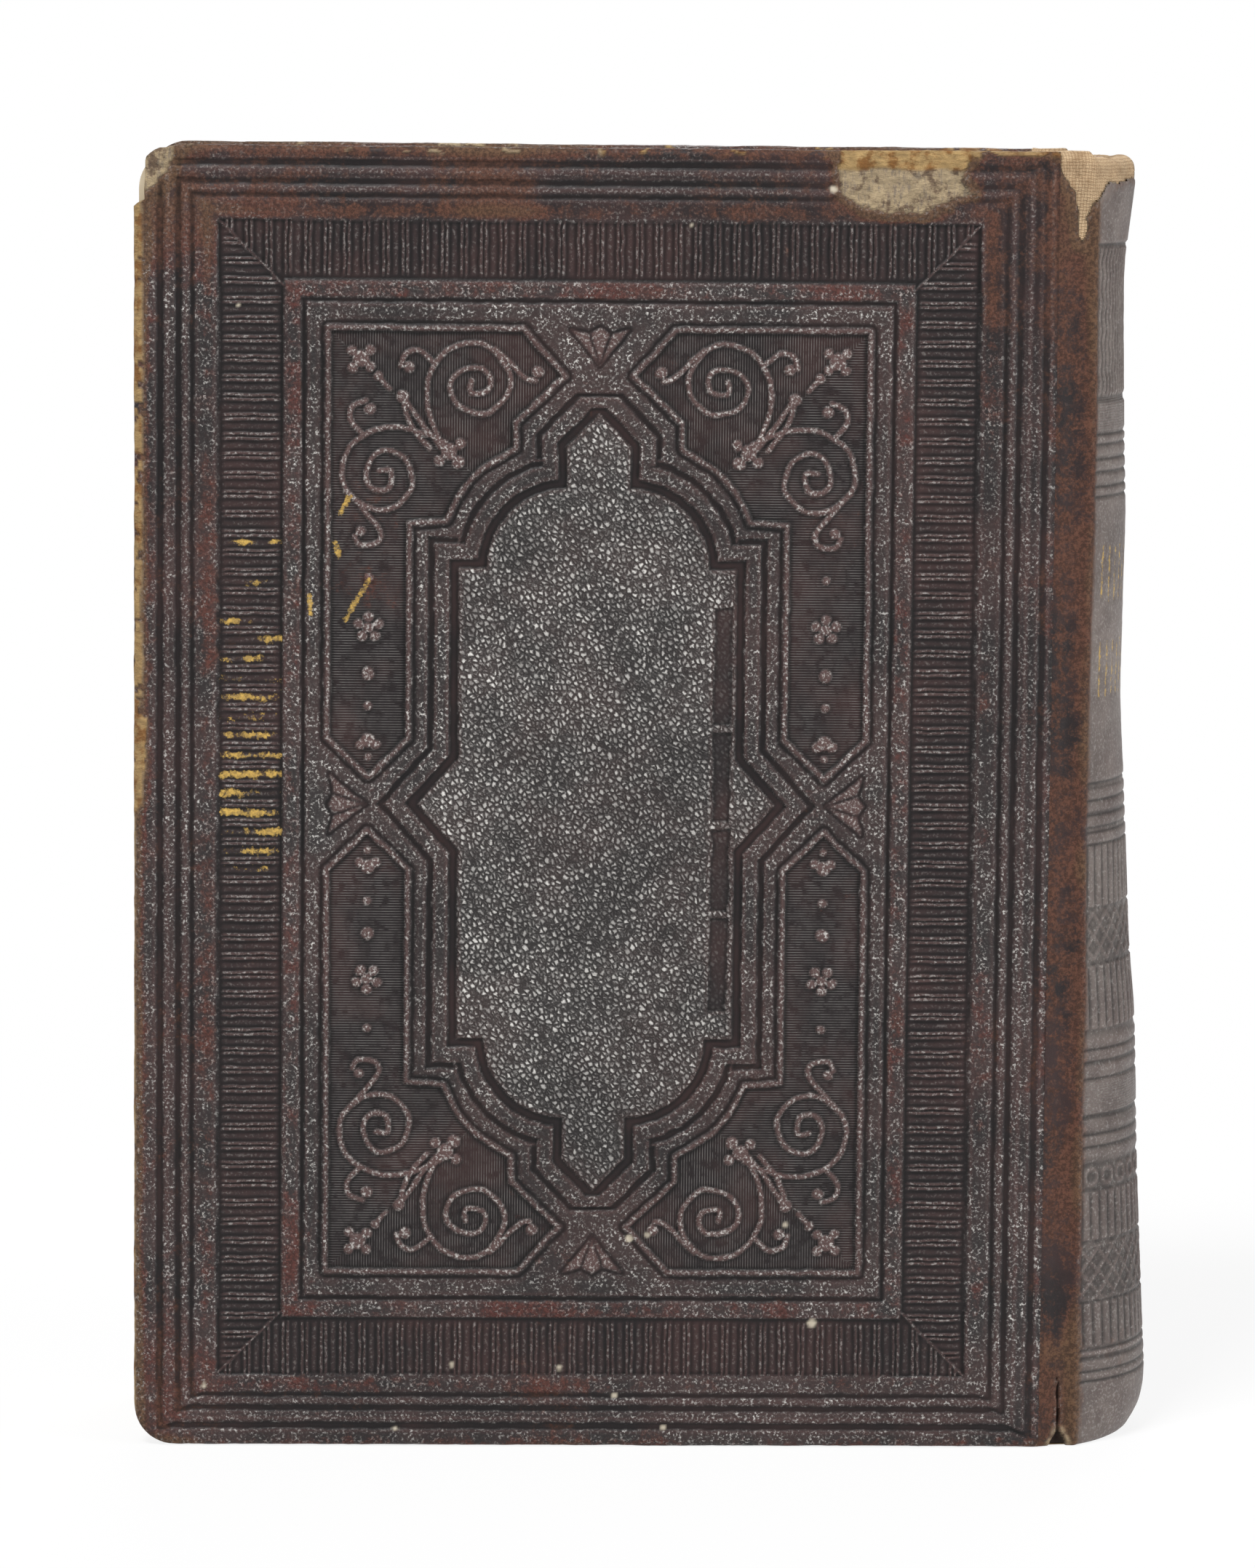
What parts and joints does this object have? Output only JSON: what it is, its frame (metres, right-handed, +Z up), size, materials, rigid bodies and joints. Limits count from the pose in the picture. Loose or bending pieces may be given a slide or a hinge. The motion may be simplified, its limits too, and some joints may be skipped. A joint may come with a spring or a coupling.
{
  "type": "prayer book",
  "caption": "Hard-cover prayer book with worn dark leather, blind-stamped cover panels, rounded spine and sewn sections; covers, flyleaves and middle leaves turn.",
  "frame": {"origin": "centre of the bounding box at the bottom, on the surface that the tail edge stands on", "axes": "+Z up from tail to head, +X from fore-edge to spine, +Y from the back cover to the front cover"},
  "size_m": [0.1504, 0.04, 0.19],
  "materials": {
    "leather": "dark brown grained leather, blind stamped, worn",
    "linen": "undyed woven linen",
    "lining_paper": "brown glued paper",
    "tape": "woven linen tape",
    "thread": "waxed linen thread",
    "headband": "rolled cloth over a cord",
    "millboard": "rough millboard",
    "endpaper": "aged plain endpaper",
    "pages": "aged uncoated book paper"
  },
  "bodies": {
    "back_half": {"back_spine_leather": "leather", "back_spine_linen": "linen", "back_spine_lining": "lining_paper", "back_sewing_tapes": "tape", "back_kettle_stitches": "thread", "back_head_band": "headband", "back_tail_band": "headband", "section_01": "pages", "section_02": "pages", "section_03": "pages", "section_04": "pages", "section_05": "pages", "section_06": "pages", "section_07": "pages", "section_08": "pages", "section_09": "pages", "section_10": "pages", "section_11": "pages", "section_12": "pages"},
    "front_half": {"front_spine_leather": "leather", "front_spine_linen": "linen", "front_spine_lining": "lining_paper", "front_sewing_tapes": "tape", "front_kettle_stitches": "thread", "front_head_band": "headband", "front_tail_band": "headband", "section_13": "pages", "section_14": "pages", "section_15": "pages", "section_16": "pages", "section_17": "pages", "section_18": "pages", "section_19": "pages", "section_20": "pages", "section_21": "pages", "section_22": "pages", "section_23": "pages", "section_24": "pages"},
    "back_cover": {"back_cover_leather": "leather", "back_board": "millboard", "back_pastedown": "endpaper"},
    "front_cover": {"front_cover_leather": "leather", "front_board": "millboard", "front_pastedown": "endpaper"},
    "back_flyleaf": {"back_flyleaf": "endpaper"},
    "front_flyleaf": {"front_flyleaf": "endpaper"},
    "leaf_1": {"leaf_1": "pages"},
    "leaf_2": {"leaf_2": "pages"},
    "leaf_3": {"leaf_3": "pages"},
    "leaf_4": {"leaf_4": "pages"}
  },
  "joints": [
    {"name": "block_open", "type": "hinge", "parent": "back_half", "child": "front_half", "pos_m": [0.07565, 0, 0.095], "axis": [0, 0, -1], "range_deg": [0, 120]},
    {"name": "back_cover_hinge", "type": "hinge", "parent": "back_half", "child": "back_cover", "pos_m": [0.05805, -0.02029, 0.095], "axis": [0, 0, 1], "range_deg": [0, 120]},
    {"name": "front_cover_hinge", "type": "hinge", "parent": "front_half", "child": "front_cover", "pos_m": [0.05805, 0.02029, 0.095], "axis": [0, 0, -1], "range_deg": [0, 120]},
    {"name": "back_flyleaf_turn", "type": "hinge", "parent": "back_half", "child": "back_flyleaf", "pos_m": [0.05705, -0.01629, 0.095], "axis": [0, 0, 1], "range_deg": [0, 60]},
    {"name": "front_flyleaf_turn", "type": "hinge", "parent": "front_half", "child": "front_flyleaf", "pos_m": [0.05705, 0.01629, 0.095], "axis": [0, 0, -1], "range_deg": [0, 60]},
    {"name": "leaf_1_turn", "type": "hinge", "parent": "back_half", "child": "leaf_1", "pos_m": [0.07565, 0, 0.095], "axis": [0, 0, -1], "range_deg": [0, 24]},
    {"name": "leaf_2_turn", "type": "hinge", "parent": "back_half", "child": "leaf_2", "pos_m": [0.07565, 0, 0.095], "axis": [0, 0, -1], "range_deg": [0, 48]},
    {"name": "leaf_3_turn", "type": "hinge", "parent": "back_half", "child": "leaf_3", "pos_m": [0.07565, 0, 0.095], "axis": [0, 0, -1], "range_deg": [0, 72]},
    {"name": "leaf_4_turn", "type": "hinge", "parent": "back_half", "child": "leaf_4", "pos_m": [0.07565, 0, 0.095], "axis": [0, 0, -1], "range_deg": [0, 96]}
  ],
  "couplings": [
    {"joint": "back_flyleaf_turn", "follows": "back_cover_hinge", "ratio": 0.5},
    {"joint": "front_flyleaf_turn", "follows": "front_cover_hinge", "ratio": 0.5},
    {"joint": "leaf_1_turn", "follows": "block_open", "ratio": 0.2},
    {"joint": "leaf_2_turn", "follows": "block_open", "ratio": 0.4},
    {"joint": "leaf_3_turn", "follows": "block_open", "ratio": 0.6},
    {"joint": "leaf_4_turn", "follows": "block_open", "ratio": 0.8}
  ]
}
